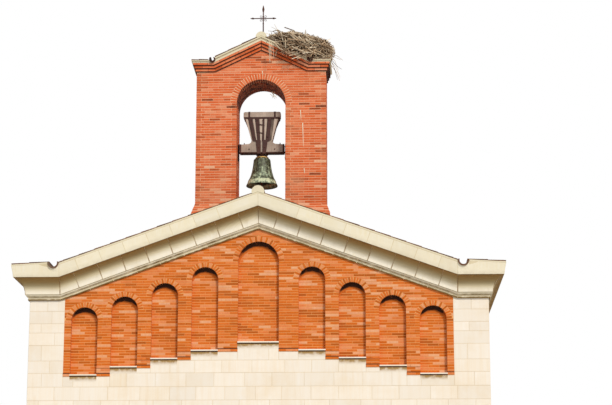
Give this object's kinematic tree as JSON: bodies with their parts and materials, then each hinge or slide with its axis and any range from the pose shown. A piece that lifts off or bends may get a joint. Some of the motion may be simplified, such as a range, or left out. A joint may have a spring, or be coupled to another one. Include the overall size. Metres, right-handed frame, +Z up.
{
  "type": "bell tower",
  "caption": "Gabled stone church front with a stepped row of blind brick niches, carrying a brick bell gable with a swinging bell under a counterweight yoke.",
  "frame": {"origin": "on the ground at the middle of the front wall's face", "axes": "+X to the right seen from the front, +Y from the front face towards the rear, +Z up; the front faces -Y"},
  "size_m": [11.048, 8.808, 15.8564],
  "materials": {
    "stone": "dressed",
    "brick": "weathered",
    "red_brick": "weathered",
    "tile": "weathered",
    "mortar": "rough",
    "floor_stone": "worn",
    "door_timber": "weathered",
    "yoke_timber": "weathered",
    "iron": "rusted",
    "bronze": "patinated",
    "bright_bronze": "worn",
    "sticks": "dry"
  },
  "bodies": {
    "building": {"front_wall": "stone", "left_wall": "stone", "right_wall": "stone", "rear_wall": "stone", "nave_floor": "floor_stone", "door_step": "stone", "door_arch": "stone", "left_door_leaf": "door_timber", "right_door_leaf": "door_timber", "brick_panel": "brick", "niche_arch_rings": "brick", "niche_sills": "stone", "pier_base_courses": "brick", "front_cornice": "stone", "rear_cornice": "stone", "left_eaves_cornice": "stone", "right_eaves_cornice": "stone", "left_roof": "tile", "right_roof": "tile", "left_eaves_roof": "tile", "right_eaves_roof": "tile", "gutter_channels": "tile", "ridge_tiles": "mortar", "left_foot": "red_brick", "right_foot": "red_brick", "left_pier": "red_brick", "right_pier": "red_brick", "belfry_arch_ring": "red_brick", "gable_head": "red_brick", "belfry_cornice": "red_brick", "mortar_band": "mortar", "belfry_roof": "tile", "belfry_gutters": "tile", "belfry_ridge_tile": "mortar", "cross": "iron", "nest": "sticks", "bearing_plates": "iron"},
    "bell_and_yoke": {"axle": "iron", "yoke_head": "yoke_timber", "yoke_body": "yoke_timber", "yoke_beam": "yoke_timber", "yoke_straps": "iron", "yoke_plate": "iron", "bell": "bronze", "bell_crown": "bright_bronze", "clapper": "iron"}
  },
  "joints": [
    {"name": "bell_swing", "type": "hinge", "parent": "building", "child": "bell_and_yoke", "pos_m": [0, 1.1, 12.23], "axis": [1, 0, 0], "continuous": true}
  ]
}
